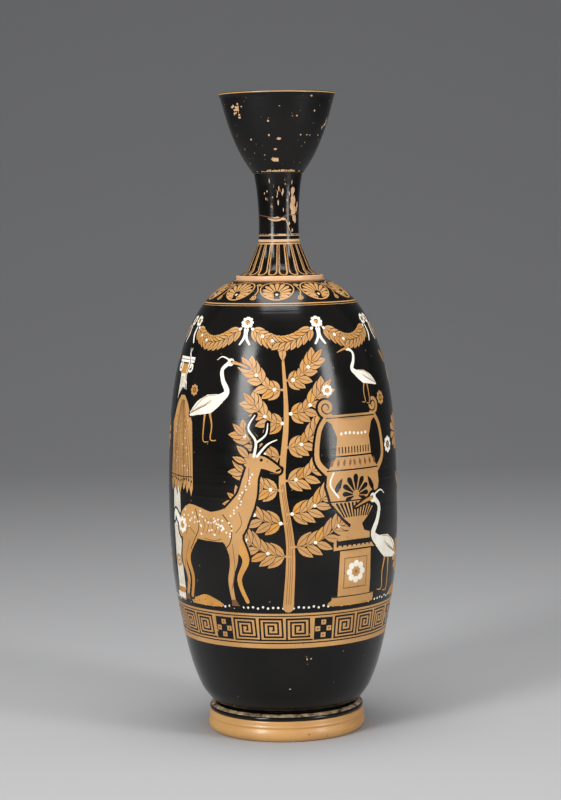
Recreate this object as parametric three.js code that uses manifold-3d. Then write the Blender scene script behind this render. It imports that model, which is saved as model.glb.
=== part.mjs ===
// Oil jar of the tall-necked, one-handled kind that potters turned in sections:
// a calyx-shaped mouth, a narrow neck flaring onto a small collar, a long egg-shaped
// body, a clay fillet and a moulded disc foot, with one strap handle at the back.
// Each section was shaped on its own and then luted to the next with slip, so each
// is its own closed solid here, with the seat, spigot or saddle that locates it.
//
// Units are millimetres, +Z is up, and the origin is the centre of the resting face.
// The decorated front faces -Y, and the handle is at +Y.

import * as THREE from "three";
import { mergeVertices } from "three/addons/utils/BufferGeometryUtils.js";
import Module from "manifold-3d";

// ---------------------------------------------------------------- dimensions
const HEIGHT = 450; // resting face to lip
const BORE_R = 8.6; // pouring channel through the neck
const GAP = 0.3; // slip line left between a cut piece and its neighbour

const FOOT_TOP = 14.6; // flat top of the foot, under the fillet
const FOOT_SEAT = 12; // floor of the shallow recess the body stands in
const STUB_R = 45.2; // turned stub under the body
const SEAT_R = 45.5; // recess that takes the stub

const SHOULDER_TOP = 319.3; // flat seat on top of the body
const OPENING_R = 21; // opening left in the shoulder
const SPIGOT_R = 20.6; // ring under the neck that drops into the opening
const COLLAR_R = 30.8; // outside of the collar round the neck's base
const COLLAR_TOP = 322.8;

const NECK_TOP = 394; // shoulder of the neck where the mouth sits
const MOUTH_BASE = 394.2;
const SOCKET_R = 13.3; // recess under the mouth
const TENON_R = 13; // ring on top of the neck
const TENON_TOP = 396.8;

const HANDLE_W = 19; // strap handle, across
const HANDLE_T = 7.2; // strap handle, thick

// outside of the body, [radius, height], from the underside to the shoulder seat
const BODY_OUT = [
  [47.6, 19.9], [50.6, 20.5], [52.9, 21.9], [54.7, 24], [57.6, 27.8], [60.3, 32],
  [64.4, 42], [68.2, 54], [71.4, 68], [74.5, 84], [77.6, 102], [79.9, 122],
  [80.9, 144], [81.1, 168], [80.6, 192], [79.5, 216], [77.3, 238], [73.6, 258],
  [68.2, 276], [61.8, 291], [54.4, 303], [46.6, 311], [39.2, 316.4], [32.4, 319.2],
];
// outside of the neck above the collar, [radius, height]
const NECK_OUT = [
  [28.8, 323], [25.2, 324.4], [22.2, 326.6], [19.6, 330], [17.3, 334.6], [15.7, 340],
  [14.6, 347], [14.1, 356], [14.2, 365], [14.7, 375], [15.5, 384], [16.4, 390], [17.1, NECK_TOP],
];
// outside and inside of the mouth, [radius, height]
const MOUTH_OUT = [
  [17.9, MOUTH_BASE], [18.4, 395.4], [21.6, 400], [25.8, 407], [30.1, 416], [34.3, 427],
  [37.6, 438], [39.2, 444], [40.1, 447.2], [40.9, 448.8], [41, 449.5], [40.6, HEIGHT],
];
const MOUTH_IN = [
  [37.2, HEIGHT], [36.7, 449.2], [35.9, 446], [33.9, 438], [30.3, 427], [25.8, 416],
  [20.8, 407.4], [15.6, 402.2], [11.2, 399.6], [BORE_R, 398],
];
// the foot: domed underside, resting ring, torus, groove, ridge and plain band
const FOOT = [
  [0, 6], [14, 5.9], [26, 5.2], [35, 3.8], [40.5, 1.8], [43, 0],
  [53, 0], [54.4, 0.9], [55.6, 2.6], [56.1, 4.9], [55.8, 7], [54.9, 8.9],
  [55.0, 9.6], [55.4, 10.4], [54.9, 11.6], [54.8, 13.8], [54.4, FOOT_TOP],
  [SEAT_R, FOOT_TOP], [SEAT_R, FOOT_SEAT], [0, FOOT_SEAT],
];
const FILLET = [
  [SEAT_R + 0.2, FOOT_TOP + 0.1], [54.4, FOOT_TOP + 0.1], [54.9, 15.4], [54.9, 16.6],
  [54.2, 17.6], [52.4, 18.6], [49.8, 19.4], [46.6, 19.5], [SEAT_R + 0.2, 19.2],
];

// -------------------------------------------------------------------- helpers
const spline = (pts, n) =>
  new THREE.SplineCurve(pts.map(([r, z]) => new THREE.Vector2(r, z))).getPoints(n);

const points = (pts) => pts.map(([r, z]) => new THREE.Vector2(r, z));

// signed volume of a triangle soup, to tell which way its faces point
function signedVolume(geometry) {
  const g = geometry.index ? geometry.toNonIndexed() : geometry;
  const p = g.getAttribute("position");
  const a = new THREE.Vector3(), b = new THREE.Vector3(), c = new THREE.Vector3();
  let v = 0;
  for (let i = 0; i < p.count; i += 3) {
    a.fromBufferAttribute(p, i);
    b.fromBufferAttribute(p, i + 1);
    c.fromBufferAttribute(p, i + 2);
    v += a.dot(b.cross(c)) / 6;
  }
  return v;
}

function flipped(geometry) {
  const g = geometry.index ? geometry.toNonIndexed() : geometry.clone();
  const p = g.getAttribute("position");
  for (let i = 0; i < p.count; i += 3) {
    const x = p.getX(i), y = p.getY(i), z = p.getZ(i);
    p.setXYZ(i, p.getX(i + 1), p.getY(i + 1), p.getZ(i + 1));
    p.setXYZ(i + 1, x, y, z);
  }
  return g;
}

// a turned piece: profile points in [radius, height], spun about Z
function turned(profile, segments, closed) {
  const pts = profile.slice();
  if (closed) pts.push(pts[0].clone());
  const g = new THREE.LatheGeometry(pts, segments);
  g.rotateX(Math.PI / 2);
  return signedVolume(g) < 0 ? flipped(g) : g;
}

// ------------------------------------------------------------------- the body
const bodyOuter = spline(BODY_OUT, 26);
const wall = [
  // inside of the body, from under the opening down to the floor
  [OPENING_R, SHOULDER_TOP], [OPENING_R, 313.2], [30, 312], [38.6, 308.6], [46.2, 302.6],
  [53.6, 293.6], [61, 280.5], [67.2, 264], [71.8, 243], [74.4, 218], [75.5, 192],
  [75.9, 166], [75.6, 142], [74.2, 118], [70.6, 92], [65.8, 68], [59.6, 48], [52.4, 34],
  [44, 26.4], [32, 22.4], [16, 21], [0, 20.8],
];
const bodyProfile = [
  new THREE.Vector2(0, FOOT_SEAT),
  new THREE.Vector2(STUB_R - 0.8, FOOT_SEAT),
  new THREE.Vector2(STUB_R, FOOT_SEAT + 0.8),
  new THREE.Vector2(STUB_R, 19.6),
  ...bodyOuter,
  new THREE.Vector2(31.6, SHOULDER_TOP),
  ...points(wall),
];
const bodyGeometry = turned(bodyProfile, 40, false);

// ------------------------------------------------------------------- the neck
const neckOuter = spline(NECK_OUT, 15);
const neckProfile = [
  ...points([
    [13.6, 314], [SPIGOT_R - 0.6, 314], [SPIGOT_R, 314.6], [SPIGOT_R, SHOULDER_TOP + 0.1],
    [27.3, SHOULDER_TOP + 0.1], [27.3, COLLAR_TOP + 0.1],
  ]),
  ...neckOuter,
  ...points([
    [TENON_R, NECK_TOP], [TENON_R, TENON_TOP], [BORE_R, TENON_TOP], [BORE_R, 380],
    [BORE_R, 362], [BORE_R, 346], [9.2, 334], [10.6, 324],
  ]),
];
const neckGeometry = turned(neckProfile, 36, true);

// ----------------------------------------------- the collar, mouth, foot, fillet
const collarGeometry = turned(
  points([
    [27.6, SHOULDER_TOP + 0.1], [30.4, SHOULDER_TOP + 0.1], [COLLAR_R, 319.8],
    [COLLAR_R, 322.3], [30.4, COLLAR_TOP], [27.6, COLLAR_TOP],
  ]),
  36,
  true,
);

const mouthProfile = [
  ...spline(MOUTH_OUT, 15),
  ...spline(MOUTH_IN, 12),
  ...points([[BORE_R, 397], [SOCKET_R, 397], [SOCKET_R, MOUTH_BASE]]),
];
const mouthGeometry = turned(mouthProfile, 40, true);

const footGeometry = turned(points(FOOT), 40, false);
const filletGeometry = turned(points(FILLET), 40, true);

// ----------------------------------------------------------------- the handle
// A flat strap bent outwards from the top of the neck and down to the shoulder.
const handlePath = new THREE.CatmullRomCurve3(
  [
    [8, 379.5], [18, 383.4], [30, 385.6], [42, 384], [51, 377], [56, 365], [57.6, 350],
    [57.4, 334], [56, 318], [53.6, 303], [51.6, 293],
  ].map(([y, z]) => new THREE.Vector3(0, y, z)),
  false,
  "centripetal",
);
const section = new THREE.Shape();
{
  // a strap with rounded edges and a slightly hollowed outer face
  const w = HANDLE_W / 2, t = HANDLE_T / 2, n = 16;
  for (let i = 0; i < n; i++) {
    const a = (i / n) * 2 * Math.PI;
    const c = Math.cos(a), s = Math.sin(a);
    const x = w * Math.sign(c) * Math.abs(c) ** 0.62;
    const y = t * Math.sign(s) * Math.abs(s) ** 0.8;
    if (i) section.lineTo(x, y);
    else section.moveTo(x, y);
  }
  section.closePath();
}
const strap = new THREE.ExtrudeGeometry(section, {
  steps: 20,
  bevelEnabled: false,
  extrudePath: handlePath,
});
{
  // the strap spreads where it is pressed onto the shoulder and onto the neck
  const p = strap.getAttribute("position");
  for (let i = 0; i < p.count; i++) {
    const y = p.getY(i), z = p.getZ(i);
    const low = THREE.MathUtils.smoothstep(320 - z, 0, 20);
    const high = THREE.MathUtils.smoothstep(26 - y, 0, 12) * (z > 340 ? 1 : 0);
    p.setX(i, p.getX(i) * (1 + 0.26 * low + 0.1 * high));
  }
}

const wasm = await Module();
wasm.setup();

function solid(geometry) {
  const g = geometry.clone();
  g.deleteAttribute("normal");
  g.deleteAttribute("uv");
  const m = mergeVertices(g, 1e-4);
  return new wasm.Manifold(
    new wasm.Mesh({
      numProp: 3,
      vertProperties: new Float32Array(m.getAttribute("position").array),
      triVerts: new Uint32Array(m.index.array),
    }),
  );
}

function geometryOf(manifold) {
  const m = manifold.getMesh(), n = m.numProp;
  const v = new Float32Array(m.numVert * 3);
  for (let i = 0; i < m.numVert; i++) v.set(m.vertProperties.subarray(i * n, i * n + 3), i * 3);
  const g = new THREE.BufferGeometry();
  g.setAttribute("position", new THREE.BufferAttribute(v, 3));
  g.setIndex(new THREE.BufferAttribute(new Uint32Array(m.triVerts), 1));
  return g;
}

// the saddles: plain turned blocks a slip line larger than the neck and shoulder
const grown = (pts) => pts.map((p) => new THREE.Vector2(p.x + GAP, p.y));
const neckBlock = turned(
  [new THREE.Vector2(0, 318), new THREE.Vector2(30, 318), ...grown(neckOuter), new THREE.Vector2(0, NECK_TOP)],
  36,
  false,
);
const bodyBlock = turned(
  [
    new THREE.Vector2(0, 240),
    ...bodyOuter.filter((p) => p.y > 240).map((p) => new THREE.Vector2(p.x + GAP, p.y + GAP * 0.8)),
    new THREE.Vector2(0, SHOULDER_TOP + 0.6),
  ],
  40,
  false,
);
const handleGeometry = geometryOf(solid(strap).subtract(solid(neckBlock)).subtract(solid(bodyBlock)));

// ------------------------------------------------------------------- assembly
const gloss = (roughness = 0.32) =>
  new THREE.MeshStandardMaterial({ color: 0x16130f, roughness, metalness: 0 });
const clay = () => new THREE.MeshStandardMaterial({ color: 0xcd9759, roughness: 0.62, metalness: 0 });

const jar = new THREE.Group();
function place(name, geometry, material) {
  const mesh = new THREE.Mesh(geometry, material);
  mesh.name = name;
  jar.add(mesh);
}

place("foot", footGeometry, clay());
place("foot_fillet", filletGeometry, gloss(0.5));
place("body", bodyGeometry, gloss());
place("shoulder_collar", collarGeometry, clay());
place("neck", neckGeometry, gloss());
place("mouth", mouthGeometry, gloss(0.4));
place("handle", handleGeometry, gloss());

export default jar;
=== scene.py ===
import bpy, math
import numpy as np
from mathutils import Matrix, Vector
from mathutils.geometry import delaunay_2d_cdt


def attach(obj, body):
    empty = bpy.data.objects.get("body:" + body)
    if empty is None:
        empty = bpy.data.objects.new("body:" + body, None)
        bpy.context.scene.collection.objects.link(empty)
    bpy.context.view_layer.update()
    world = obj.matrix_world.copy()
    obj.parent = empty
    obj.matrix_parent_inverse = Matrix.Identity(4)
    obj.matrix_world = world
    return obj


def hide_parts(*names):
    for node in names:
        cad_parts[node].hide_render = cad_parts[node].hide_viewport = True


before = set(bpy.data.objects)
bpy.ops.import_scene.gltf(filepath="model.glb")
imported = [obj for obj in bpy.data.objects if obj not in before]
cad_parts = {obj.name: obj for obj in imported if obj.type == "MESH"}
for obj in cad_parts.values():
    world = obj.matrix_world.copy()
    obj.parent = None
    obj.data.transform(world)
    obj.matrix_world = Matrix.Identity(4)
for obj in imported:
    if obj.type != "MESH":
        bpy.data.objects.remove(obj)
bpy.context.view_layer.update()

rng = np.random.default_rng(7)
MM = 0.001
REF = 80.0      # the painted surfaces are unrolled at this radius, in millimetres
SEAM = 123.2    # degrees round from the front where the unrolled surface is joined

# ------------------------------------------------------------------ camera
cam_data = bpy.data.cameras.new("camera")
cam = bpy.data.objects.new("camera", cam_data)
bpy.context.scene.collection.objects.link(cam)
cam_data.sensor_width = 36.0
cam_data.lens = 98.757
cam.matrix_world = (Matrix.Translation((-0.0008, -1.552, 0.365)) @ Matrix.Rotation(math.pi / 2 - math.radians(4.8208), 4, "X")
                    @ Matrix.Rotation(math.radians(-0.91), 4, "Z"))
bpy.context.scene.camera = cam


# ------------------------------------------------------------------ materials
def material(name, col, col2, rough, rough2, scale=60.0, bump=0.1, specks=None, coat=0.0, wheel=0.0, spec=0.5, fleck=0.0):
    """Two tones mixed by noise, uneven roughness, turning marks and fine grain in the bump, and sparse flecks."""
    m = bpy.data.materials.new(name)
    m.use_nodes = True
    nt = m.node_tree
    N, L = nt.nodes, nt.links
    p = N["Principled BSDF"]
    p.inputs["Specular IOR Level"].default_value = spec
    p.inputs["Coat Weight"].default_value = coat
    p.inputs["Coat Roughness"].default_value = 0.12
    tc = N.new("ShaderNodeTexCoord")
    n1 = N.new("ShaderNodeTexNoise")
    n1.inputs["Scale"].default_value = scale
    n1.inputs["Detail"].default_value = 6.0
    L.new(tc.outputs["Object"], n1.inputs["Vector"])
    mix = N.new("ShaderNodeMix")
    mix.data_type = "RGBA"
    ramp = N.new("ShaderNodeMapRange")
    ramp.inputs["From Min"].default_value = 0.35
    ramp.inputs["From Max"].default_value = 0.68
    L.new(n1.outputs["Fac"], ramp.inputs["Value"])
    L.new(ramp.outputs["Result"], mix.inputs["Factor"])
    mix.inputs[6].default_value = (*col, 1)
    mix.inputs[7].default_value = (*col2, 1)
    out = mix.outputs[2]
    if specks:
        vo = N.new("ShaderNodeTexVoronoi")
        vo.inputs["Scale"].default_value = 150.0
        L.new(tc.outputs["Object"], vo.inputs["Vector"])
        gate = N.new("ShaderNodeTexNoise")
        gate.inputs["Scale"].default_value = 45.0
        gate.inputs["Detail"].default_value = 3.0
        L.new(tc.outputs["Object"], gate.inputs["Vector"])
        a = N.new("ShaderNodeMath")
        a.operation = "LESS_THAN"
        a.inputs[1].default_value = fleck
        L.new(vo.outputs["Distance"], a.inputs[0])
        b = N.new("ShaderNodeMath")
        b.operation = "GREATER_THAN"
        b.inputs[1].default_value = 0.56
        L.new(gate.outputs["Fac"], b.inputs[0])
        c = N.new("ShaderNodeMath")
        c.operation = "MULTIPLY"
        L.new(a.outputs[0], c.inputs[0])
        L.new(b.outputs[0], c.inputs[1])
        mx = N.new("ShaderNodeMix")
        mx.data_type = "RGBA"
        L.new(c.outputs[0], mx.inputs["Factor"])
        L.new(out, mx.inputs[6])
        mx.inputs[7].default_value = (*specks, 1)
        out = mx.outputs[2]
    L.new(out, p.inputs["Base Color"])
    n2 = N.new("ShaderNodeTexNoise")
    n2.inputs["Scale"].default_value = 38.0
    n2.inputs["Detail"].default_value = 5.0
    L.new(tc.outputs["Object"], n2.inputs["Vector"])
    rr = N.new("ShaderNodeMapRange")
    rr.inputs["From Min"].default_value = 0.3
    rr.inputs["From Max"].default_value = 0.7
    rr.inputs["To Min"].default_value = rough
    rr.inputs["To Max"].default_value = rough2
    L.new(n2.outputs["Fac"], rr.inputs["Value"])
    L.new(rr.outputs["Result"], p.inputs["Roughness"])
    # turning marks: noise stretched round the axis
    mp = N.new("ShaderNodeMapping")
    mp.inputs["Scale"].default_value = (6.0, 6.0, 260.0)
    L.new(tc.outputs["Object"], mp.inputs["Vector"])
    n3 = N.new("ShaderNodeTexNoise")
    n3.inputs["Scale"].default_value = 1.0
    n3.inputs["Detail"].default_value = 3.0
    L.new(mp.outputs["Vector"], n3.inputs["Vector"])
    n4 = N.new("ShaderNodeTexNoise")
    n4.inputs["Scale"].default_value = 900.0
    n4.inputs["Detail"].default_value = 2.0
    L.new(tc.outputs["Object"], n4.inputs["Vector"])
    b1 = N.new("ShaderNodeBump")
    b1.inputs["Strength"].default_value = wheel
    b1.inputs["Distance"].default_value = 0.0006
    L.new(n3.outputs["Fac"], b1.inputs["Height"])
    b2 = N.new("ShaderNodeBump")
    b2.inputs["Strength"].default_value = bump
    b2.inputs["Distance"].default_value = 0.0002
    L.new(n4.outputs["Fac"], b2.inputs["Height"])
    L.new(b1.outputs["Normal"], b2.inputs["Normal"])
    L.new(b2.outputs["Normal"], p.inputs["Normal"])
    return m


GLOSS = material("black_gloss", (0.003, 0.0028, 0.0026), (0.0062, 0.005, 0.0042), 0.13, 0.25, 30, 0.1, (0.16, 0.1, 0.05), 0.08, 0.26, 0.22, 0.08)
CLAY = material("fired_clay", (0.535, 0.287, 0.097), (0.43, 0.215, 0.066), 0.42, 0.56, 28, 0.3, (0.3, 0.14, 0.05), 0.05, 0.25, 0.45, 0.10)
BROWN = material("dilute_slip", (0.2, 0.075, 0.018), (0.12, 0.042, 0.01), 0.34, 0.46, 90, 0.2)
WASH = material("golden_wash", (0.56, 0.27, 0.05), (0.45, 0.19, 0.035), 0.4, 0.52, 60, 0.25)
WHITE = material("added_white", (0.86, 0.83, 0.74), (0.74, 0.69, 0.56), 0.58, 0.72, 110, 0.7, (0.5, 0.3, 0.14), 0, 0.1, 0.3, 0.12)
CHIP = material("bare_chip", (0.66, 0.42, 0.23), (0.5, 0.29, 0.15), 0.7, 0.85, 160, 0.9)
FOOTCLAY = material("foot_clay", (0.56, 0.305, 0.1), (0.45, 0.22, 0.068), 0.36, 0.52, 24, 0.3, (0.25, 0.12, 0.05), 0.12, 0.35, 0.5, 0.12)
RINGCLAY = material("collar_clay", (0.68, 0.42, 0.24), (0.56, 0.31, 0.15), 0.4, 0.55, 50, 0.3, (0.3, 0.14, 0.05), 0.1, 0.2, 0.5, 0.10)
WORN = material("worn_ledge", (0.012, 0.01, 0.008), (0.47, 0.34, 0.2), 0.45, 0.7, 240, 0.8, (0.6, 0.45, 0.28), 0, 0.4, 0.4, 0.2)
PAINT = [GLOSS, CLAY, BROWN, WASH, WHITE, CHIP, RINGCLAY, WORN, FOOTCLAY]
BL, CL, BR, WA, WH, CH, RI, WO, FO = range(9)


# ------------------------------------------------------------------ profiles
def spline(pts, n):
    P = np.array(pts, float)
    out = []
    for i in range(n + 1):
        t = (len(P) - 1) * i / n
        k = int(math.floor(t))
        w = t - k
        if k >= len(P) - 1:
            out.append(P[-1])
            continue
        p0, p1, p2, p3 = P[max(k - 1, 0)], P[k], P[k + 1], P[min(k + 2, len(P) - 1)]
        v0, v1 = (p2 - p0) / 2, (p3 - p1) / 2
        out.append((2 * p1 - 2 * p2 + v0 + v1) * w ** 3 + (-3 * p1 + 3 * p2 - 2 * v0 - v1) * w * w + v0 * w + p1)
    return np.array(out)


BODY_OUT = [(47.6, 19.9), (50.6, 20.5), (52.9, 21.9), (54.7, 24), (57.6, 27.8), (60.3, 32), (64.4, 42), (68.2, 54), (71.4, 68), (74.5, 84),
            (77.6, 102), (79.9, 122), (80.9, 144), (81.1, 168), (80.6, 192), (79.5, 216), (77.3, 238), (73.6, 258), (68.2, 276),
            (61.8, 291), (54.4, 303), (46.6, 311), (39.2, 316.4), (32.4, 319.2)]
BODY_IN = [(32.4, 319.2), (31.6, 319.3), (21, 319.3), (21, 313.2), (30, 312), (38.6, 308.6), (46.2, 302.6), (53.6, 293.6), (61, 280.5),
           (67.2, 264), (71.8, 243), (74.4, 218), (75.5, 192), (75.9, 166), (75.6, 142), (74.2, 118), (70.6, 92), (65.8, 68),
           (59.6, 48), (52.4, 34), (44, 26.4), (32, 22.4), (16, 21), (0, 20.8)]
BODY_LOW = [(0, 12), (44.4, 12), (45.2, 12.8), (45.2, 19.6), (47.6, 19.9)]
NECK_OUT = [(28.8, 323), (25.2, 324.4), (22.2, 326.6), (19.6, 330), (17.3, 334.6), (15.7, 340), (14.6, 347), (14.1, 356), (14.2, 365),
            (14.7, 375), (15.5, 384), (16.4, 390), (17.1, 394)]
NECK_REST = [(17.1, 394), (13, 394), (13, 396.8), (8.6, 396.8), (8.6, 380), (8.6, 362), (8.6, 346), (9.2, 334), (10.6, 324), (13.6, 314),
             (20, 314), (20.6, 314.6), (20.6, 319.4), (27.3, 319.4), (27.3, 322.9), (28.8, 323)]
MOUTH_OUT = [(17.9, 394.2), (18.4, 395.4), (21.6, 400), (25.8, 407), (30.1, 416), (34.3, 427), (37.6, 438), (39.2, 444), (40.1, 447.2),
             (40.9, 448.8), (41, 449.5), (40.6, 450)]
MOUTH_IN = [(37.2, 450), (36.7, 449.2), (35.9, 446), (33.9, 438), (30.3, 427), (25.8, 416), (20.8, 407.4), (15.6, 402.2), (11.2, 399.6), (8.6, 398)]
MOUTH_END = [(8.6, 397), (13.3, 397), (13.3, 394.2), (17.9, 394.2)]
FOOT = [(0, 6), (14, 5.9), (26, 5.2), (35, 3.8), (40.5, 1.8), (43, 0), (53, 0), (54.4, 0.9), (55.6, 2.6), (56.1, 4.9), (55.8, 7), (54.9, 8.9),
        (55.0, 9.6), (55.4, 10.4), (54.9, 11.6), (54.8, 13.8), (54.4, 14.6), (45.5, 14.6), (45.5, 12), (0, 12)]
FILLET = [(45.7, 14.7), (54.4, 14.7), (54.9, 15.4), (54.9, 16.6), (54.2, 17.6), (52.4, 18.6), (49.8, 19.4), (46.6, 19.5), (45.7, 19.2), (45.7, 14.7)]
COLLAR = [(27.6, 319.4), (30.4, 319.4), (30.8, 319.8), (30.8, 322.3), (30.4, 322.8), (27.6, 322.8), (27.6, 319.4)]


class Surface:
    """The outside of a turned piece: radius and height against distance along the profile."""

    def __init__(self, pts):
        P = spline(pts, 600)
        P[:, 0] = np.minimum(P[:, 0], 81.05)
        self.p = P
        self.s = np.concatenate([[0], np.cumsum(np.hypot(*np.diff(P, axis=0).T))])
        self.len = self.s[-1]

    def r(self, s):
        return np.interp(s, self.s, self.p[:, 0])

    def z(self, s):
        return np.interp(s, self.s, self.p[:, 1])

    def at(self, z):
        return float(np.interp(z, self.p[:, 1], self.s))


class Canvas:
    def __init__(self, surface):
        self.surf = surface
        self.polys = []
        self.x0, self.x1 = REF * math.radians(SEAM - 360), REF * math.radians(SEAM)

    def poly(self, pts, mat):
        P = np.array(pts, float)
        a = 0.5 * np.sum(P[:, 0] * np.roll(P[:, 1], -1) - np.roll(P[:, 0], -1) * P[:, 1])
        if abs(a) < 1e-3:
            return
        P[:, 1] = np.clip(P[:, 1], 0.6, self.surf.len - 0.6)
        if P[:, 0].min() < self.x0 + 0.2 and P[:, 0].max() < self.x1 - 0.5 and P[:, 0].min() != self.x0:
            P[:, 0] = np.maximum(P[:, 0], self.x0 + 0.2)
        if P[:, 0].max() > self.x1 - 0.2 and P[:, 0].min() > self.x0 + 0.5 and P[:, 0].max() != self.x1:
            P[:, 0] = np.minimum(P[:, 0], self.x1 - 0.2)
        self.polys.append((P if a > 0 else P[::-1], mat))

    def band(self, z0, z1, mat):
        s0, s1 = self.surf.at(z0), self.surf.at(z1)
        xs = np.linspace(self.x0, self.x1, 289)     # enough points to follow the curve of the wall
        self.polys.append((np.concatenate([np.stack([xs, xs * 0 + s0], 1), np.stack([xs[::-1], xs * 0 + s1], 1)]), mat))


def smooth(pts, n=6, closed=False):
    P = [np.array(p, float) for p in pts]
    m = len(P)
    if m < 3:
        return np.array(P)
    out = []
    for k in range(m if closed else m - 1):
        p0 = P[k - 1] if (closed or k) else P[0]
        p1, p2 = P[k], P[(k + 1) % m]
        p3 = P[(k + 2) % m] if closed else P[min(k + 2, m - 1)]
        for i in range(n):
            w = i / n
            v0, v1 = (p2 - p0) / 2, (p3 - p1) / 2
            out.append((2 * p1 - 2 * p2 + v0 + v1) * w ** 3 + (-3 * p1 + 3 * p2 - 2 * v0 - v1) * w * w + v0 * w + p1)
    if not closed:
        out.append(P[-1])
    return np.array(out)


class Pen:
    """Draws in millimetres on a canvas: x to the viewer's right, y up the surface."""

    def __init__(self, canvas, deg, z, k=1.0, flip=1, turn=0.0, s=None):
        self.c, self.x0 = canvas, REF * math.radians(deg)
        self.s0 = canvas.surf.at(z) if s is None else s
        self.k, self.flip, self.turn = k, flip, math.radians(turn)

    def map(self, pts):
        P = np.array(pts, float) * self.k
        c, s = math.cos(self.turn), math.sin(self.turn)
        x, y = P[:, 0] * c - P[:, 1] * s, P[:, 0] * s + P[:, 1] * c
        S = self.s0 + y
        R = self.c.surf.r(np.clip(S, 0, self.c.surf.len))
        return np.stack([self.x0 + self.flip * x * REF / R, S], 1)

    halo = 0.0      # when set, shapes are drawn in black and this much larger, to part them from what lies behind

    def raw(self, pts, mat):
        self.c.poly(self.map(pts), BL if self.halo else mat)

    def poly(self, pts, mat):
        P = np.array(pts, float)
        if self.halo:
            c = P.mean(axis=0)
            P = c + (P - c) * (1 + self.halo / max(np.abs(P - c).mean(), 0.8))
        self.raw(P, mat)

    def blob(self, pts, mat, n=5):
        self.poly(smooth(pts, n, True), mat)

    def disc(self, x, y, r, mat, n=14, ry=None):
        t = np.arange(n) * 2 * math.pi / n
        self.poly(np.stack([x + r * np.cos(t), y + (ry or r) * np.sin(t)], 1), mat)

    def line(self, pts, w, mat, n=5, caps=True):
        P = smooth(pts, n) if n > 1 else np.array(pts, float)
        if np.isscalar(w):
            W = np.full(len(P), float(w))
        else:
            W = np.interp(np.linspace(0, 1, len(P)), np.linspace(0, 1, len(w)), w)
        W = W + 2 * self.halo
        T = np.gradient(P, axis=0)
        T /= np.maximum(np.hypot(T[:, 0], T[:, 1]), 1e-9)[:, None]
        Nn = np.stack([-T[:, 1], T[:, 0]], 1) * W[:, None] / 2
        a, b = P + Nn, P - Nn
        for i in range(len(P) - 1):
            self.raw([b[i], b[i + 1], a[i + 1], a[i]], mat)
        if caps:
            for i in (0, -1):
                if W[i] > 1.4:
                    t = np.arange(12) * math.pi / 6
                    self.raw(np.stack([P[i][0] + W[i] * 0.495 * np.cos(t), P[i][1] + W[i] * 0.495 * np.sin(t)], 1), mat)

    def ortho(self, pts, w, mat):
        for (x0, y0), (x1, y1) in zip(pts, pts[1:]):
            a, b, c, d = min(x0, x1) - w / 2, max(x0, x1) + w / 2, min(y0, y1) - w / 2, max(y0, y1) + w / 2
            self.poly([(a, c), (b, c), (b, d), (a, d)], mat)

    def spiral(self, x, y, r, turns, start, w, mat, sense=1, r0=0.6):
        t = np.linspace(0, 1, int(12 * turns) + 4)
        a = math.radians(start) + sense * 2 * math.pi * turns * t
        rad = r0 + (r - r0) * (1 - t)
        self.line(np.stack([x + rad * np.cos(a), y + rad * np.sin(a)], 1), w, mat, 1)
        self.disc(x, y, r0 * 1.1, mat, 8)

    def leaf(self, x, y, deg, L, W, mat, rib=BR):
        a = math.radians(deg)
        t = np.array([0, 0.12, 0.3, 0.5, 0.72, 0.9, 1.0])
        h = np.array([0.0, 0.42, 0.9, 1.0, 0.74, 0.3, 0.0]) * W / 2
        up = np.stack([t * L, h], 1)
        dn = np.stack([t[-2:0:-1] * L, -h[-2:0:-1]], 1)
        P = np.concatenate([up, dn])
        R = np.array([[math.cos(a), math.sin(a)], [-math.sin(a), math.cos(a)]])
        if mat in (CL, WA) and not self.halo:       # a black edge parts the leaf from what lies under it
            g = np.array([(1 + 0.5 / L), (1 + 1.1 / W)])
            self.poly(((P - (L / 2, 0)) * g + (L / 2, 0)) @ R + (x, y), BL)
        self.poly(P @ R + (x, y), mat)
        if rib is not None:
            self.line(np.array([(0.08 * L, 0), (0.84 * L, 0)]) @ R + (x, y), 0.45, rib, 1, False)

    def palmette(self, x, y, L, n=9, spread=115, deg=90, mat=CL, fat=0.9, heart=True):
        for i in range(n):
            f = 2 * i / (n - 1) - 1
            a = math.radians(deg - f * spread)
            l = L * (1 - 0.34 * abs(f) ** 1.6)
            w = fat * L * math.radians(2 * spread / (n - 1)) * 0.36 * (1 - 0.22 * abs(f))
            t = np.array([0.24, 0.45, 0.68, 0.84, 0.95, 1.0])
            h = np.array([0.25, 0.5, 0.86, 1.0, 0.66, 0.0]) * w
            bend = 0.10 * l * f * (t - 0.24) ** 2
            up, dn = np.stack([t * l, h - bend], 1), np.stack([t[-2::-1] * l, (-h - bend)[-2::-1]], 1)
            R = np.array([[math.cos(a), math.sin(a)], [-math.sin(a), math.cos(a)]])
            self.poly(np.concatenate([up, dn]) @ R + (x, y), mat)
        if heart:
            self.disc(x, y, 0.17 * L, mat, 16)
            self.disc(x, y, 0.095 * L, BL, 12)
            self.disc(x, y, 0.04 * L, WH, 8)

    def rosette(self, x, y, r, mat=WH, n=8):
        for i in range(n):
            a = 2 * math.pi * i / n
            self.disc(x + 0.64 * r * math.cos(a), y + 0.64 * r * math.sin(a), 0.27 * r, mat, 10)
        self.disc(x, y, 0.26 * r, WA, 10)
        self.disc(x, y, 0.1 * r, BR, 8)


# ------------------------------------------------------------------ painting: the body
body_s, neck_s, mouth_s = Surface(BODY_OUT), Surface(NECK_OUT), Surface(MOUTH_OUT)
C = Canvas(body_s)

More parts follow.
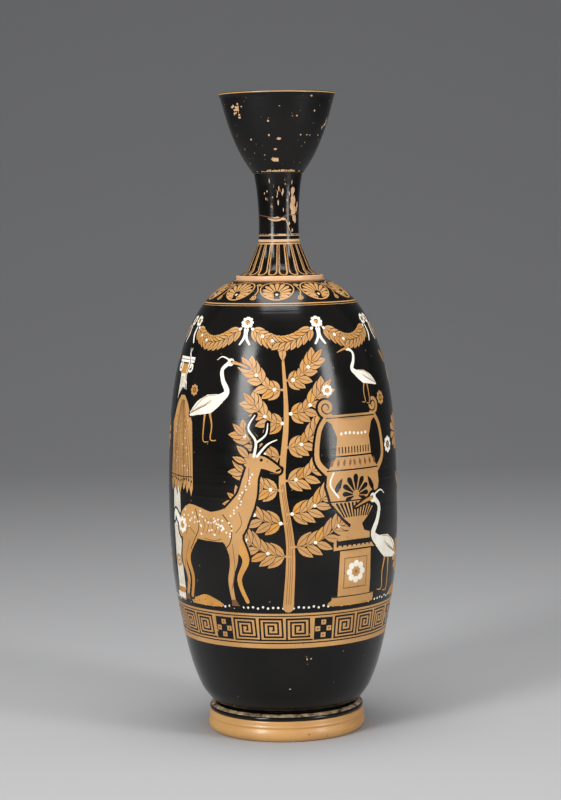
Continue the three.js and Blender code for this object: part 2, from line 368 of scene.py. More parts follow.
# meander and checkers on a reserved band
C.band(69.7, 94.5, CL)
for z0, z1 in ((92.2, 93.0), (72.9, 73.8)):
    C.band(z0, z1, BL)
groups = [(14.6, 54.8), (69.4, 54.1), (-40.2, 54.8), (-95.0, 54.8)] + [(-236.8 + 47.27 * i, 47.2) for i in range(3)]
for start, width in groups:
    k = width / 54.8
    R = 72.8
    q = Pen(C, start + 5.95 * k, 75.4)
    w = 6.6 * k
    q.poly([(-w, -0.4), (w, -0.4), (w, 15.6), (-w, 15.6)], BL)
    for cx, cy in ((0, 12.2), (0, 3.0), (-w * 0.62, 7.6), (w * 0.62, 7.6)):
        e = 1.75
        q.poly([(cx - e, cy - e), (cx + e, cy - e), (cx + e, cy + e), (cx - e, cy + e)], CL)
        q.disc(cx, cy, 0.55, BL, 8)
    e = 1.3
    q.poly([(-e, 7.6 - e), (e, 7.6 - e), (e, 7.6 + e), (-e, 7.6 + e)], BL)
    for j in range(3):
        u = 17.4 * k
        q = Pen(C, start + (12.2 + 14.2 * j) * k, 75.4)
        a = u / 8.0
        j1 = rng.uniform(-0.12, 0.12, 12)
        q.ortho([(0.25 * a, 0), (0.25 * a, 15.3), (7.35 * a, 15.3 + j1[0]), (7.35 * a, 2.4), (1.55 * a, 2.4 + j1[1]), (1.55 * a, 12.9),
                 (6.0 * a, 12.9 + j1[2]), (6.0 * a, 4.8), (2.9 * a, 4.8 + j1[3]), (2.9 * a, 10.5), (4.6 * a, 10.5), (4.6 * a, 7.4)], 1.3, BL)
        q.line([(4.6 * a, 7.6), (3.9 * a, 6.9)], [1.2, 0.7], BL, 1)
        q.ortho([(0.25 * a, 0), (8.2 * a, 0)], 1.2, BL)

# chain of enclosed palmettes on the shoulder
C.band(303.2, 303.5, CL)
C.band(304.3, 305.0, CL)
edges = [-21.9, 16.5] + [16.5 + 35.57 * i for i in (1, 2, 3)] + [-21.9 - 35.82 * i for i in range(1, 7)]
edges.sort()
for a, b in zip(edges, edges[1:]):
    q = Pen(C, (a + b) / 2, 306.3)
    k = (b - a) / 38.4
    t = np.arange(0, 33) * 2 * math.pi / 32
    q.line(np.stack([11.6 * k * np.cos(t), 11.0 + 9.9 * np.sin(t)], 1), 0.95, CL, 1, False)
    q.palmette(0, 6.6, 13.0, 11, 104, 90, CL, 0.9, False)
    q.disc(0, 6.2, 1.25, CL, 12)
    q.disc(0, 6.2, 0.6, WH, 8)
    for s in (-1, 1):
        q.spiral(s * 3.7 * k, 3.9, 2.3, 1.4, 90, 0.8, CL, -s)
    if abs((b % 360) - SEAM) > 2 and abs(b - SEAM) > 2:
        q = Pen(C, b, 306.3)
        q.spiral(0, 3.4, 2.3, 1.4, 200, 0.75, CL, 1)
        q.spiral(0, 17.2, 1.9, 1.3, 20, 0.75, CL, -1)
        q.line([(0.4, 5.4), (1.4, 10), (-0.4, 15.4)], 0.8, CL)

# ground: a dotted line and low mounds
for d in np.arange(SEAM - 358, SEAM - 2, 2.6):
    Pen(C, d, 98.6 + 0.5 * math.sin(d)).disc(0, 0, 0.85, WH, 8)
for d, wdt in ((-52, 26), (37, 20), (-98, 18), (84, 19), (-160, 24)):
    q = Pen(C, d, 96.4)
    q.blob([(-wdt, 2.4), (-wdt * 0.6, 8), (-wdt * 0.1, 5.6), (wdt * 0.45, 9), (wdt, 2.2), (0, 1.2)], WA)
    for i in range(6):
        q.disc(-wdt * 0.6 + i * wdt * 0.24, 4 + 1.4 * math.sin(i * 2.1), 0.55, BR, 7)


def tree(deg, z, H, pairs, k=1.0, flip=1):
    q = Pen(C, deg, z, k, flip)
    q.line([(1, 0), (3, H * 0.25), (-2, H * 0.5), (1.5, H * 0.76), (0, H)], [7.5, 5.8, 4.6, 3.4, 1.6], CL)
    for o in (-1.5, 0.2, 1.6):
        q.line([(1 + o, 2), (3 + o * 0.8, H * 0.25), (-2 + o * 0.6, H * 0.5)], 0.4, BR, 5, False)
    for i in range(pairs):
        f = (i + 0.5) / pairs
        y = H * (0.16 + 0.8 * f)
        x = float(np.interp(y / H, [0, 0.25, 0.5, 0.76, 1], [1, 3, -2, 1.5, 0]))
        for s in (-1, 1):
            L = (34 - 15 * f) * (1 + 0.08 * math.sin(3.1 * i + s))
            yy = y + s * 3.2
            end = (x + s * L, yy + L * (0.35 + 0.3 * f))
            mid = (x + s * L * 0.5, yy + L * 0.08)
            q.line([(x, yy), mid, end], [1.6, 1.2, 0.8], CL)
            arc = smooth([(x, yy), mid, end], 6)
            for j in range(2, len(arc), 2):
                d = arc[j] - arc[j - 1]
                an = math.degrees(math.atan2(d[1], d[0]))
                berry = (i + j) % 3 == 0
                q.leaf(arc[j][0], arc[j][1], an + 40, 14.5 - 4 * f, 5.6, CL if not berry else WA)
                q.leaf(arc[j][0], arc[j][1], an - 40, 14.0 - 4 * f, 5.4, CL)
                if berry:
                    q.disc(arc[j][0], arc[j][1], 1.25, WH, 9)
            q.leaf(arc[-1][0], arc[-1][1], math.degrees(math.atan2(*(arc[-1] - arc[-2])[::-1])), 12, 4.4, WA)
    q.leaf(0, H - 2, 92, 15, 5, CL)


def deer(deg, z, k=1.0, flip=1, halo=0.0):
    if not halo:
        deer(deg, z, k, flip, 1.5)
    q = Pen(C, deg, z, k, flip)
    q.halo = halo
    far = [((-17, 40), (-22, 26), (-18, 14), (-21, 1.5)), ((17, 40), (24, 28), (19, 15), (23, 1.5))]
    near = [((-20, 42), (-27, 25), (-23, 13), (-27, 0)), ((15, 42), (16, 27), (13, 14), (14, 0))]
    for leg in far:
        q.line(leg, [11, 5.2, 3.4, 2.8, 2.4], WA)
    q.line([(-27, 44), (-18, 49), (0, 47), (14, 49), (20, 54)], [13, 21, 18, 21, 14], CL)
    for leg in near:
        q.line(leg, [15, 6.4, 3.8, 3.1, 2.5], CL)
        q.poly([(leg[-1][0] - 1.8, -1.6), (leg[-1][0] + 3.6, -1.6), (leg[-1][0] + 1.4, 2.4), (leg[-1][0] - 1.3, 2.4)], BR)
    q.line([(17, 52), (25, 65), (28, 78), (31, 87)], [19, 12.5, 9.2, 8.4], CL)
    q.line([(28, 88), (36, 87), (45, 82.4)], [9.5, 7.2, 3.6], CL)
    q.leaf(27, 90, 138, 11, 4.4, CL)
    q.leaf(25.5, 87, 160, 10, 3.6, WA)
    q.line([(30, 91), (31, 100), (26, 108), (30, 116)], [1.8, 1.4, 1.2, 0.6], WH)
    q.line([(31, 99), (37, 104), (38, 111)], [1.3, 1.0, 0.5], WH)
    q.line([(32, 91), (38, 98), (44, 101)], [1.5, 1.1, 0.5], WH)
    q.line([(-33, 49), (-38, 53), (-40, 47)], [5, 3.4, 1], WH)
    q.disc(34.6, 88.8, 1.0, BL, 9)
    for leg in near:
        q.line([(x + 0.5, y - 5) for x, y in leg[:3]], 0.45, BR, 5, False)
    q.line([(-24, 40), (-20, 45), (-14, 41)], 0.5, BR)
    q.line([(18, 44), (22, 50), (20, 57)], 0.5, BR)
    q.line([(43.5, 82), (46.3, 83.2)], 1.2, BL, 1)
    q.line([(40, 80.8), (44.6, 80.4)], 0.5, BR, 1)
    q.line([(9, 55), (15, 47), (14, 38), (9.5, 33)], 0.6, BL)
    q.line([(-13, 57), (-10, 46), (-15, 37), (-19, 31)], 0.6, BL)
    q.line([(20, 60), (26, 74), (27, 84)], 0.5, BR)
    q.line([(-6, 39.5), (2, 38.4), (8, 39.8)], 0.5, BR)
    for i in range(5):
        q.line([(-7 + 3.2 * i, 42.5), (-5 + 3.2 * i, 47), (-6.6 + 3.2 * i, 52)], 0.38, BR, 4, False)
    if halo:
        return
    for i in range(46):
        x, y = rng.uniform(-28, 17), rng.uniform(41, 56)
        q.disc(x, y, rng.uniform(0.55, 0.85), WH, 7)
    for i in range(14):
        t = i / 13
        q.disc(18 + 10 * t + rng.uniform(-2, 2), 56 + 24 * t, 0.6, WH, 7)


def heron(deg, z, k=1.0, flip=1, halo=0.0):
    if not halo:
        heron(deg, z, k, flip, 1.5)
    q = Pen(C, deg, z, k, flip)
    q.halo = halo
    q.line([(-2, 24), (-3, 12), (-3, 0), (3, -0.5)], [2.4, 1.3, 1.1, 0.7], WA)
    q.line([(3, 24), (6, 13), (5, 1.5), (11, 1)], [2.4, 1.3, 1.1, 0.7], WA)
    q.line([(-21, 21), (-10, 27), (2, 31), (12, 35)], [2.5, 12, 16, 9], WH)
    q.line([(10, 34), (19, 41), (14, 51), (12, 60), (18, 66)], [9, 5, 3.8, 3.3, 3.6], WH)
    q.disc(19, 66.4, 3.3, WH, 14)
    q.line([(20, 66.6), (28, 64.6), (36, 61.5)], [3.0, 1.8, 0.5], WA)
    q.line([(17, 68.5), (10, 71), (5, 68)], [1.4, 1.0, 0.5], WH)
    q.disc(19.8, 67.2, 0.7, BL, 8)
    for i in range(7):
        q.line([(4 - 3.4 * i, 34 - 1.5 * i), (-2 - 3.0 * i, 29.5 - 1.2 * i), (-9 - 2.4 * i, 27 - 1.0 * i)], 0.5, BR, 4, False)
    q.line([(8, 38.5), (-4, 36), (-20, 23)], 0.7, WA, 5, False)


def krater(deg, z, k=1.0, halo=0.0):
    if not halo:
        krater(deg, z, k, 1.5)
        Pen(C, deg, z, k).poly([(-22, 36), (22, 36), (22, 74), (-22, 74)], BL)
    q = Pen(C, deg, z, k)
    q.halo = halo
    half = [(13, 0), (13, 3), (6, 5), (4.2, 9), (9, 13), (17, 22), (20, 32), (19, 41), (13.5, 48), (12, 60), (15, 68), (18, 70), (18, 73)]
    q.poly(half + [(-x, y) for x, y in half[::-1]], CL)
    for s in (-1, 1):
        q.line([(s * 19, 40), (s * 25, 48), (s * 23, 64), (s * 18, 72)], [3.6, 3.0, 2.6, 2.6], CL)
        q.spiral(s * 17.5, 77.5, 5.2, 1.5, 240 if s > 0 else 300, 2.0, CL, s, 1.0)
    q.ortho([(-18, 71.4), (18, 71.4)], 0.7, BL)
    q.ortho([(-13.2, 49), (13.2, 49)], 0.9, BL)
    q.ortho([(-19, 41), (19, 41)], 0.8, BL)
    q.ortho([(-17.4, 23), (17.4, 23)], 0.8, BL)
    for i in range(-5, 6):
        q.line([(i * 1.7, 13.5), (i * 2.7, 21.5)], [0.9, 1.5], BL, 1)
        q.line([(i * 2.2, 50.6), (i * 2.2, 54.4)], 0.8, BL, 1)
    for i in range(-4, 5):
        q.leaf(i * 4.1, 43, 78 if i < 0 else 102, 4.6, 1.8, BR, None)
    if halo:
        return
    q.palmette(0, 26, 12.5, 9, 108, 90, BL, 0.86, False)
    q.leaf(-15, 27, 60, 11, 3.4, BL, None)
    q.leaf(15, 27, 120, 11, 3.4, BL, None)
    for i in range(7):
        q.disc(-9 + 3 * i, 62 + 0.4 * math.sin(i), 0.9, WH, 8)
    q.line([(-12, 25), (-17.5, 33), (-15, 40)], 1.1, WH, 4)


def plinth(deg, z, H, k=1.0):
    q = Pen(C, deg, z, k)
    q.poly([(-17, 0), (17, 0), (17, 5), (-17, 5)], CL)
    q.poly([(-13, 5), (13, 5), (12.4, H - 6), (-12.4, H - 6)], CL)
    q.poly([(-17, H - 6), (17, H - 6), (17, H), (-17, H)], CL)
    q.ortho([(-16.6, 4.6), (16.6, 4.6)], 0.6, BL)
    q.ortho([(-16.6, H - 6), (16.6, H - 6)], 0.6, BL)
    q.ortho([(-9, 10), (-9, H - 11), (9, H - 11), (9, 10), (-9, 10)], 0.5, BR)
    q.rosette(0, H / 2, min(8, H / 4.2), WH)
    for i in range(9):
        q.disc(-14.4 + i * 3.6, H - 3, 0.8, BL, 7)


def column(deg, z, H, k=1.0):
    q = Pen(C, deg, z, k)
    q.poly([(-10, 0), (10, 0), (10, 4), (-10, 4)], WH)
    q.poly([(-8, 4), (8, 4), (7, 8), (-7, 8)], WA)
    q.poly([(-5.8, 8), (5.8, 8), (4.8, H - 14), (-4.8, H - 14)], WH)
    for i in range(-2, 3):
        q.line([(i * 2.1, 10), (i * 1.75, H - 16)], 0.5, BR, 1, False)
    q.poly([(-6, H - 14), (6, H - 14), (10, H - 7), (-10, H - 7)], WA)
    for s in (-1, 1):
        q.spiral(s * 9, H - 9, 4.6, 1.3, 90, 1.6, WH, s, 0.8)
    q.poly([(-12, H - 6), (12, H - 6), (12, H - 2), (-12, H - 2)], WH)
    q.ortho([(-11.6, H - 4), (11.6, H - 4)], 0.5, BR)


def sash(deg, z, k=1.0, flip=1):
    q = Pen(C, deg, z, k, flip)
    q.line([(-2, 34), (3, 22), (-2, 10), (2, 0)], [2.2, 4.2, 4.2, 2.4], WH)
    q.line([(-2, 32), (3, 22), (-2, 10), (2, 2)], [0.8, 1.8, 1.8, 0.8], BR)
    for s in (-1, 0, 1):
        q.line([(2, 0), (2 + s * 3, -7)], 0.6, WH, 1)
        q.line([(-2, 34), (-2 + s * 3, 40)], 0.6, WH, 1)


def tendril(deg, z, k=1.0, flip=1, H=170):
    q = Pen(C, deg, z, k, flip)
    for i in range(4):
        y = 18 + i * H / 4
        s = 1 if i % 2 else -1
        q.line([(s * 2, y - 22), (-s * 9, y - 8), (-s * 7, y + 6), (s * 2, y + 18)], [2.2, 2.6, 2.4, 2.0], CL)
        q.spiral(s * 7, y + 1, 8.5, 1.5, 200 if s > 0 else -20, 2.0, CL, -s, 1.4)
        q.palmette(-s * 13, y + 4, 17, 9, 100, 90 + s * 66, CL, 0.92)
        q.leaf(s * 12, y + 10, 90 - s * 40, 14, 5, WA)
        q.rosette(s * 7, y + 1, 3.4, WH)


def garland(d0, d1, z, sag):
    """A drooping leaf garland between two points, with white berries and tied ends."""
    q = Pen(C, (d0 + d1) / 2, z)
    half = math.radians(d1 - d0) / 2 * float(C.surf.r(C.surf.at(z)))
    xs = np.linspace(-half, half, 15)
    arc = [(x, -sag * (1 - (x / half) ** 2)) for x in xs]
    q.line(arc, 1.0, CL, 1)
    for i in range(1, 14):
        d = np.array(arc[i + 1]) - np.array(arc[i - 1])
        an = math.degrees(math.atan2(d[1], d[0])) if i < 7 else math.degrees(math.atan2(-d[1], -d[0]))
        q.leaf(arc[i][0], arc[i][1], an + 36, 9.5, 4.2, CL)
        q.leaf(arc[i][0], arc[i][1], an - 36, 9.5, 4.2, WA if i % 3 == 0 else CL)
        if i % 2:
            q.disc(arc[i][0], arc[i][1], 1.1, WH, 9)
    for s in (-1, 1):
        q.rosette(s * half, 1.5, 4.6, WH)
        q.line([(s * half, -3), (s * (half + 1.5), -9), (s * (half - 1), -15)], [1.4, 2.2, 1.2], WH)


def cloth(deg, z, w, h, k=1.0, flip=1):
    """A hung cloth: gathered at the top, with fine folds, a dotted ground and a wave border."""
    q = Pen(C, deg, z, k, flip)
    n = 7
    hem = []
    for i in range(n):
        x0 = -w / 2 + w * i / n
        hem += [(x0 + 0.4, 5.2 + 2.2 * math.sin(i * 1.9)), (x0 + w / n * 0.55, -1.5 + 2.0 * math.sin(i * 1.9)), (x0 + w / n * 0.95, 2.4)]
    top = [(w * 0.42, h * 0.72), (w * 0.2, h * 0.93), (w * 0.06, h), (-w * 0.1, h), (-w * 0.24, h * 0.92), (-w * 0.45, h * 0.7)]
    q.halo = 1.4
    q.poly(hem + top, BL)
    q.halo = 0.0
    q.poly(hem + top, CL)
    for i in range(1, 2 * n):
        x0 = -w / 2 + w * i / (2 * n)
        q.line([(x0, 3.5 if i % 2 else 6.5), (x0 * 0.86 + 0.9 * math.sin(i), h * 0.42), (x0 * 0.16, h * 0.95)], [0.75, 0.5, 0.3], BR if i % 3 else BL, 6, False)
    for i in range(70):
        x, y = rng.uniform(-0.4, 0.4), rng.uniform(0.14, 0.78)
        q.disc(x * w * (1 - 0.4 * y), y * h, 0.5, BR if i % 4 else WH, 6)
    for i in range(int(w / 3)):
        x = -w / 2 + 2 + i * 3
        q.disc(x, 7.4 + 0.9 * math.sin(i), 0.9, BL, 8)
    q.line([(-w / 2 + 0.8, 10.2), (0, 9.6), (w / 2 - 0.8, 10.2)], 0.7, BL)


tree(1, 99, 170, 6, 1.0)
column(-66, 99, 172)
cloth(-62, 176, 34, 66)
deer(-38, 101, 1.12, 1)
plinth(38, 99, 40, 1.1)
krater(38, 143, 1.18)
heron(63, 104, 1.0, -1)
heron(-41, 212, 0.82, 1)
heron(50, 236, 0.58, -1)
garland(-66, -22, 291, 13)
garland(-21, 23, 291, 13)
garland(24, 68, 291, 13)
Pen(C, 24, 246).rosette(0, 0, 4.4)
sash(-62, 250, 0.62)
Pen(C, -60, 152).rosette(0, 0, 6.5)
Pen(C, -66, 126).rosette(0, 0, 5.5, CL)
Pen(C, 66, 205).rosette(0, 0, 6.5)
Pen(C, -52, 246).rosette(0, 0, 4.5, CL)
Pen(C, 62, 238).rosette(0, 0, 5.5, CL)
tendril(93, 102, 1.02, -1)
tendril(-101, 102, 1.02)
for d in (-125, 112):
    for z in (128, 196, 262):
        Pen(C, d, z).rosette(0, 0, 5.5, WH if z == 196 else CL)
garland(-122, -76, 291, 12)
garland(76, 118, 291, 12)
# under the handle, at the back: a large palmette above another turned down
q = Pen(C, -180, 212)
q.palmette(0, 0, 56, 15, 120, 90, CL, 0.9)
q = Pen(C, -180, 196)
q.palmette(0, 0, 52, 13, 112, -90, CL, 0.9)
for s in (-1, 1):
    q = Pen(C, -180, 204, 1, s)
    q.spiral(26, 2, 15, 1.9, 150, 2.4, CL, 1, 1.6)
    q.line([(40, -88), (52, -52), (46, -16), (38, 6), (42, 40), (60, 62)], [2, 2.6, 2.8, 2.8, 2.4, 1.6], CL)
    q.palmette(62, -34, 26, 11, 105, 40, CL, 0.9)
    q.palmette(64, 28, 24, 11, 105, -20, CL, 0.9)
    q.rosette(46, 4, 5)
    q.leaf(44, -70, 110, 22, 7, WA)
    q.leaf(50, 52, 60, 20, 6, WA)

# small losses in the gloss on the body
for i in range(60):
    d, z = rng.uniform(SEAM - 356, SEAM - 4), rng.uniform(26, 300)
    r = rng.uniform(0.25, 0.75)
    t = np.arange(7) * 2 * math.pi / 7
    j = rng.uniform(0.6, 1.3, 7) * r
    Pen(C, d, z).poly(np.stack([j * np.cos(t), j * np.sin(t)], 1), CH if z < 95 or i % 2 else BL)

# ------------------------------------------------------------------ painting: the neck and the mouth
K = Canvas(neck_s)
for i in range(20):
    c = SEAM - 9 - 18 * i
    R = math.radians(1)
    # each black tongue is outlined in clay; neighbours are parted by a thin black line
    X = lambda d: REF * math.radians(c + d)
    top, low = neck_s.at(344.5), 0.7
    pts = [(X(-8), top), (X(-8), low + 6)] + [(X(8 * math.cos(math.pi + a)), low + 6 + 6 * math.sin(math.pi + a)) for a in np.linspace(0.2, math.pi - 0.2, 9)] + [(X(8), low + 6), (X(8), top)]
    K.poly(pts, CL)
    pts = [(X(-5.4), top), (X(-5.4), low + 6.6)] + [(X(5.4 * math.cos(math.pi + a)), low + 6.6 + 5 * math.sin(math.pi + a)) for a in np.linspace(0.2, math.pi - 0.2, 9)] + [(X(5.4), low + 6.6), (X(5.4), top)]
    K.poly(pts, BL)
K.band(344.5, 345.6, CL)
K.band(346.2, 348.0, CH)
K.band(350.4, 350.9, CH)
M = Canvas(mouth_s)
M.band(448.95, 449.6, FO)


def chip(canvas, x, y, w, h, mat=CH):
    """A loss in the gloss, placed by its picture position: x, y and size in pixels of the front view."""
    z = 448 - (y - 92.9) / 1.463
    s = canvas.surf.at(z)
    r = float(canvas.surf.r(s))
    dx = (x - (0.01684 * y + 274.042)) * 0.7072
    d = math.degrees(math.asin(max(-0.97, min(0.97, dx / r))))
    n = 9
    t = np.arange(n) * 2 * math.pi / n
    j = rng.uniform(0.7, 1.25, n)
    Pen(canvas, d, z).poly(np.stack([j * np.cos(t) * w * 0.35, j * np.sin(t) * h * 0.35], 1), mat)


for x, y, w, h in ((233, 104, 3, 2.5), (236, 108, 4, 2.5), (239, 113, 3, 2), (234, 112, 2, 2.5), (241, 105, 2, 1.5), (267, 120, 2, 2), (278, 137.5, 5, 2.5),
                   (268, 134, 2, 2), (274, 148, 3, 2), (274, 158.6, 7, 5), (309.5, 95.5, 3, 2), (312.5, 110, 2.5, 2), (295, 115, 2, 1.5), (299, 134, 2, 1.5),
                   (305, 134, 2, 1.4), (308, 134, 1.6, 1.4), (316, 134, 2, 1.5), (326, 119, 2, 3), (323.5, 123, 2, 2.5), (320, 126, 2, 2), (250.5, 138, 2, 2)):
    chip(M, x, y, w, h)
for x, y, w, h in ((292.5, 200, 5, 9), (292, 209, 5, 6), (276, 217.5, 8, 3), (282, 218.5, 6, 2.6), (288, 223, 2, 3), (291, 230, 1.6, 4), (270, 234, 6, 1),
                   (281, 234.4, 9, 1), (291, 234, 4, 1), (266, 190, 1.5, 2), (284, 183, 1.4, 1.4)):
    chip(K, x, y, w, h)
for i in range(16):
    chip(K, 292.5 + rng.normal(0, 1.7), 204 + rng.normal(0, 5.0), rng.uniform(2, 5), rng.uniform(5, 11))
for i in range(26):
    chip(K, rng.uniform(262, 294), rng.uniform(178, 212), rng.uniform(0.8, 1.6), rng.uniform(1.5, 5.0), CH if i % 3 else BR)
for i in range(9):
    chip(M, 237 + rng.normal(0, 2.4), 108 + rng.normal(0, 4.5), rng.uniform(2, 5), rng.uniform(2, 5))
for i in range(10):
    t = i / 9
    chip(M, 320 + 6.5 * t + rng.normal(0, 0.4), 127 - 10 * t, rng.uniform(1, 2.4), rng.uniform(1.5, 3.5))
for i in range(70):
    d, z, r = rng.uniform(-170, 110), rng.uniform(398, 447), rng.uniform(0.15, 0.42)
    Pen(M, d, z).disc(0, 0, r, CH if i % 3 else BR, 6)


# wear where the mouth was luted on, and a mended crack round the neck
for d in range(-64, 66, 5):
    if abs(d) < 40 or d % 3 == 0:
        a, b = REF * math.radians(d), REF * math.radians(d + rng.uniform(2.5, 5.2))
        lo, hi = 0.8, 0.8 + rng.uniform(0.5, 1.0) * (1.9 if -28 < d < 38 else 0.8)
        M.poly([(a, lo), (b, lo + 0.1), (b, hi), (a, hi + 0.1)], CH)
crack = [(-21, 1.2), (-14, 0.2), (-8, -0.8), (-3, -2.2), (2, -1.4), (7, 0.6), (12, 0.4), (17, 1.6), (22, 2.4)]
Pen(K, 0, 364.5).line(crack, [0.3, 0.6, 0.9, 0.4, 0.7, 0.3], BR, 5, False)
Pen(K, 0, 364.0).line([(-8, -1.4), (-4, -2.7), (0, -2.6), (3, -1.8)], [0.4, 1.2, 1.3, 0.4], CH, 5, False)
Pen(K, 22, 358).line([(-1, 5), (1.2, 0), (3.6, -7)], [0.4, 0.5, 0.25], CH, 5, False)
for z0, w in ((351.6, 0.35), (346.9, 0.3)):
    for d in range(-70, 72, 7):
        Pen(K, d, z0).line([(0, rng.uniform(-0.1, 0.1)), (rng.uniform(0.7, 1.7), 0)], w, CH, 1, False)

# ------------------------------------------------------------------ meshes
def pos(deg_x, r, z):
    th = deg_x / REF
    return np.stack([r * np.sin(th), -r * np.cos(th), z], -1)


def painted(points, polys, base):
    """The paint at each point: that of the last shape drawn over it."""
    order = np.argsort(points[:, 0])
    X, Y = points[order, 0], points[order, 1]
    out = np.full(len(points), base)
    for P, m in polys:
        i0, i1 = np.searchsorted(X, P[:, 0].min()), np.searchsorted(X, P[:, 0].max())
        if i1 <= i0:
            continue
        k = np.arange(i0, i1)
        k = k[(Y[k] > P[:, 1].min()) & (Y[k] < P[:, 1].max())]
        if not len(k):
            continue
        x, y = X[k][:, None], Y[k][:, None]
        x1, y1 = P[:, 0][None], P[:, 1][None]
        x2, y2 = np.roll(P[:, 0], -1)[None], np.roll(P[:, 1], -1)[None]
        cross = ((y1 > y) != (y2 > y)) & (x < (x2 - x1) * (y - y1) / np.where(y2 == y1, 1e-12, y2 - y1) + x1)
        out[order[k[cross.sum(axis=1) % 2 == 1]]] = m
    return out


def build(name, node, canvas, rows, cols, strips, base=BL, strip_mats=None):
    """A turned piece as one closed mesh: the painted outside, divided along the painting, and plain turned strips for the rest."""
    V, Nn, F, FM, UV = [], [], [], [], []
    count = 0
    if canvas:
        S = canvas.surf
        xs = np.linspace(canvas.x0, canvas.x1, cols + 1)
        ys = np.linspace(0, S.len, rows + 1)
        verts = [Vector((x, y)) for x in xs for y in ys]
        edges = []
        for P, m in canvas.polys:
            a = len(verts)
            verts += [Vector((float(x), float(y))) for x, y in P]
            edges += [(a + i, a + (i + 1) % len(P)) for i in range(len(P))]
        ov, oe, of_, _, _, _ = delaunay_2d_cdt(verts, edges, [], 0, 1e-5, False)
        P = np.array([(v.x, v.y) for v in ov])
        r, z = S.r(P[:, 1]), S.z(P[:, 1])
        V.append(pos(P[:, 0], r, z))
        h = 0.3
        dr, dz = S.r(P[:, 1] + h) - S.r(P[:, 1] - h), S.z(P[:, 1] + h) - S.z(P[:, 1] - h)
        l = np.hypot(dr, dz)
        th = P[:, 0] / REF
        Nn.append(np.stack([dz / l * np.sin(th), -dz / l * np.cos(th), -dr / l], -1))
        u, v = (P[:, 0] - canvas.x0) / (canvas.x1 - canvas.x0), P[:, 1] / S.len
        tri = np.array([f[:3] for f in of_])
        colour = painted(P[tri].mean(axis=1), canvas.polys, base)
        for f, m in zip(of_, colour):
            a, b, c = f[0], f[1], f[2]
            if (P[b, 0] - P[a, 0]) * (P[c, 1] - P[a, 1]) - (P[c, 0] - P[a, 0]) * (P[b, 1] - P[a, 1]) < 0:
                b, c = c, b
            F.append((a, b, c))
            FM.append(int(m))
            UV.append([(0.002 + 0.996 * u[i], 0.2 + 0.798 * v[i]) for i in (a, b, c)])
        count = len(P)
    for si, (prof, m) in enumerate(strips):
        Q = np.array(prof, float)
        x0, x1 = REF * math.radians(SEAM - 360), REF * math.radians(SEAM)
        xs = np.linspace(x0, x1, cols + 1)
        XX, II = np.meshgrid(xs, np.arange(len(Q)), indexing="ij")
        V.append(pos(XX, Q[II, 0], Q[II, 1]).reshape(-1, 3))
        Nn.append(np.zeros((XX.size, 3)))
        n = len(Q)
        lv = np.concatenate([[0], np.cumsum(np.hypot(*np.diff(Q, axis=0).T))])
        lv /= lv[-1]
        hi = 0.19 if canvas else 0.998
        v0, v1 = hi * si / len(strips) + 0.002, hi * (si + 1) / len(strips) - 0.004
        for i in range(cols):
            for j in range(n - 1):
                a, b, c, d = (count + i * n + j, count + (i + 1) * n + j, count + (i + 1) * n + j + 1, count + i * n + j + 1)
                F.append((a, b, c, d))
                FM.append(m)
                UV.append([((i + di) / cols * 0.996 + 0.002, v0 + (v1 - v0) * lv[j + dj]) for di, dj in ((0, 0), (1, 0), (1, 1), (0, 1))])
        count += XX.size
    V, Nn = np.concatenate(V), np.concatenate(Nn)
    key = np.round(V * 2000).astype(np.int64)
    _, first, inv = np.unique(key, axis=0, return_index=True, return_inverse=True)
    inv = inv.reshape(-1)
    VV, NN = V[first], Nn[first]
    GF, GM, GU = [], [], []
    for f, m, uv in zip(F, FM, UV):
        ids = [int(inv[i]) for i in f]
        keep = [i for i in range(len(ids)) if ids[i] != ids[i - 1]]
        if len(set(ids[i] for i in keep)) < 3:
            continue
        GF.append([ids[i] for i in keep])
        GM.append(m)
        GU += [uv[i] for i in keep]
    me = bpy.data.meshes.new(name)
    me.from_pydata((VV * MM).tolist(), [], GF)
    used = sorted(set(GM))
    for m in used:
        me.materials.append(PAINT[m])
    me.polygons.foreach_set("material_index", [used.index(m) for m in GM])
    me.polygons.foreach_set("use_smooth", [True] * len(GF))
    uvl = me.uv_layers.new(name="OFBake")
    uvl.data.foreach_set("uv", np.array(GU, float).ravel())
    me.set_sharp_from_angle(angle=math.radians(38))
    if canvas:
        me.normals_split_custom_set_from_vertices(NN.tolist())
    ob = bpy.data.objects.new(name, me)
    bpy.context.scene.collection.objects.link(ob)
    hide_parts(node)
    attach(ob, "root")
    return ob


def fine(pts, n):
    return [tuple(p) for p in spline(pts, n)]


build("painted_body", "body", C, 96, 144,
      [(BODY_IN[:4] + fine(BODY_IN[3:], 70)[1:], CL), (BODY_LOW, CL)])
build("glossed_neck", "neck", K, 54, 96, [(NECK_REST, CL)])
build("calyx_mouth", "mouth", M, 48, 144,
      [([(40.6, 450), (40.2, 450)], FO), ([(40.2, 450), (37.6, 450)] + fine(MOUTH_IN, 44), BL), ([MOUTH_IN[-1]] + MOUTH_END, CL)])


def eased(pts, r):
    """Rounds the hard corners of a turned profile a little, as fingers and a wet sponge leave them."""
    P = [np.array(p, float) for p in pts]
    out = [P[0]]
    for a, b, c in zip(P, P[1:], P[2:]):
        u, v = a - b, c - b
        lu, lv = np.hypot(*u), np.hypot(*v)
        e = min(r, lu * 0.3, lv * 0.3)
        p, q = b + u / lu * e, b + v / lv * e
        for t in (0, 0.5, 1):
            out.append((1 - t) ** 2 * p + 2 * t * (1 - t) * b + t * t * q)
    out.append(P[-1])
    return [tuple(p) for p in out]


build("turned_foot", "foot", None, 0, 144, [(eased(FOOT, 0.8), FO)])
build("worn_fillet", "foot_fillet", None, 0, 144, [(eased(FILLET[:5], 0.4), BL), ([FILLET[4], (53.5, 18.1), FILLET[5], (51.2, 19.0)], WO), ([(51.2, 19.0)] + FILLET[6:], BL)])
build("collar_ring", "shoulder_collar", None, 0, 120, [(eased(COLLAR, 0.5), RI)])

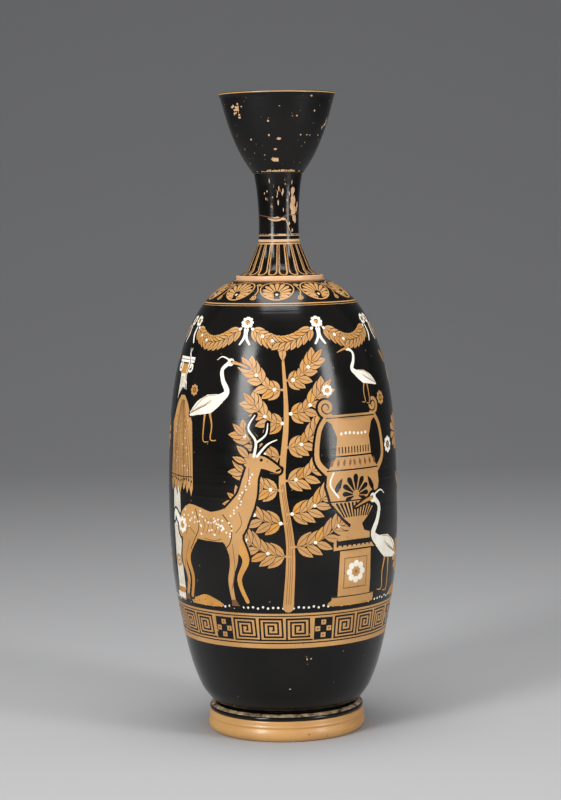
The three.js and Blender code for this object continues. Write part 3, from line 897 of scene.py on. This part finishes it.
# the strap handle
path = [(13.2, 381.8), (18, 383.4), (30, 385.6), (42, 384), (51, 377), (56, 365), (57.6, 350), (57.4, 334), (56, 318), (53.6, 303), (52.2, 295.5)]
cl = spline(path, 90)
sec = []
for i in range(32):
    a = i / 32 * 2 * math.pi
    c, s = math.cos(a), math.sin(a)
    sec.append((9.5 * np.sign(c) * abs(c) ** 0.62, 3.6 * np.sign(s) * abs(s) ** 0.8 - (0.35 * (1 - abs(c)) if s > 0 else 0)))
hv = []
tan = np.gradient(cl, axis=0)
tan /= np.hypot(tan[:, 0], tan[:, 1])[:, None]
for (y, z), (ty, tz) in zip(cl, tan):
    e = lambda x: max(0.0, min(1.0, x)) ** 2 * (3 - 2 * max(0.0, min(1.0, x)))
    k = 1 + 0.24 * e((320 - z) / 20) + 0.1 * e((26 - y) / 12) * (z > 340)
    for x, t in sec:
        hv.append((x * k, y - tz * t, z + ty * t))
hf = [(i * 32 + j, i * 32 + (j + 1) % 32, (i + 1) * 32 + (j + 1) % 32, (i + 1) * 32 + j) for i in range(len(cl) - 1) for j in range(32)]
hf += [tuple(range(32))[::-1], tuple(range(len(cl) * 32 - 32, len(cl) * 32))]
me = bpy.data.meshes.new("strap_handle")
me.from_pydata((np.array(hv) * MM).tolist(), [], hf)
import bmesh
bm = bmesh.new()
bm.from_mesh(me)
bmesh.ops.recalc_face_normals(bm, faces=bm.faces)
bm.to_mesh(me)
bm.free()
me.materials.append(GLOSS)
me.polygons.foreach_set("use_smooth", [True] * len(me.polygons))
me.set_sharp_from_angle(angle=math.radians(50))
hob = bpy.data.objects.new("strap_handle", me)
bpy.context.scene.collection.objects.link(hob)
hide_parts("handle")
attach(hob, "root")

# ------------------------------------------------------------------ floor and light
fm = bpy.data.meshes.new("floor")
sweep = [(-7.0, 0.0), (0.0, 0.0), (1.6, 0.0)] + [(1.6 + 2.4 * math.sin(t), 2.4 - 2.4 * math.cos(t)) for t in np.linspace(0.05, math.pi / 2, 24)] + [(4.0, 9.0)]
fm.from_pydata([(x, y, z) for y, z in sweep for x in (-9.0, 9.0)], [], [(2 * i, 2 * i + 1, 2 * i + 3, 2 * i + 2) for i in range(len(sweep) - 1)])
fm.polygons.foreach_set("use_smooth", [True] * len(fm.polygons))
floor = bpy.data.objects.new("floor", fm)
bpy.context.scene.collection.objects.link(floor)
flm = bpy.data.materials.new("floor")
flm.use_nodes = True
flm.node_tree.nodes["Principled BSDF"].inputs["Base Color"].default_value = (0.4, 0.4, 0.405, 1)
flm.node_tree.nodes["Principled BSDF"].inputs["Roughness"].default_value = 0.9
fm.materials.append(flm)

world = bpy.data.worlds.new("world")
world.use_nodes = True
world.node_tree.nodes["Background"].inputs["Color"].default_value = (0.62, 0.63, 0.65, 1)
world.node_tree.nodes["Background"].inputs["Strength"].default_value = 0.27
bpy.context.scene.world = world


def area(name, loc, target, size, size_y, power):
    d = bpy.data.lights.new(name, "AREA")
    d.shape = "RECTANGLE"
    d.size, d.size_y, d.energy = size, size_y, power
    o = bpy.data.objects.new(name, d)
    o.location = loc
    o.rotation_euler = (Vector(target) - Vector(loc)).to_track_quat("-Z", "Y").to_euler()
    bpy.context.scene.collection.objects.link(o)


area("key", (-1.05, -1.3, 0.85), (0, 0, 0.24), 0.42, 1.2, 29)
area("fill", (1.25, -0.95, 0.65), (0, 0, 0.24), 0.34, 1.2, 17)
area("top", (0, -0.15, 1.5), (0, 0, 0.2), 0.8, 0.8, 15)
bpy.context.scene.view_settings.view_transform = "Standard"
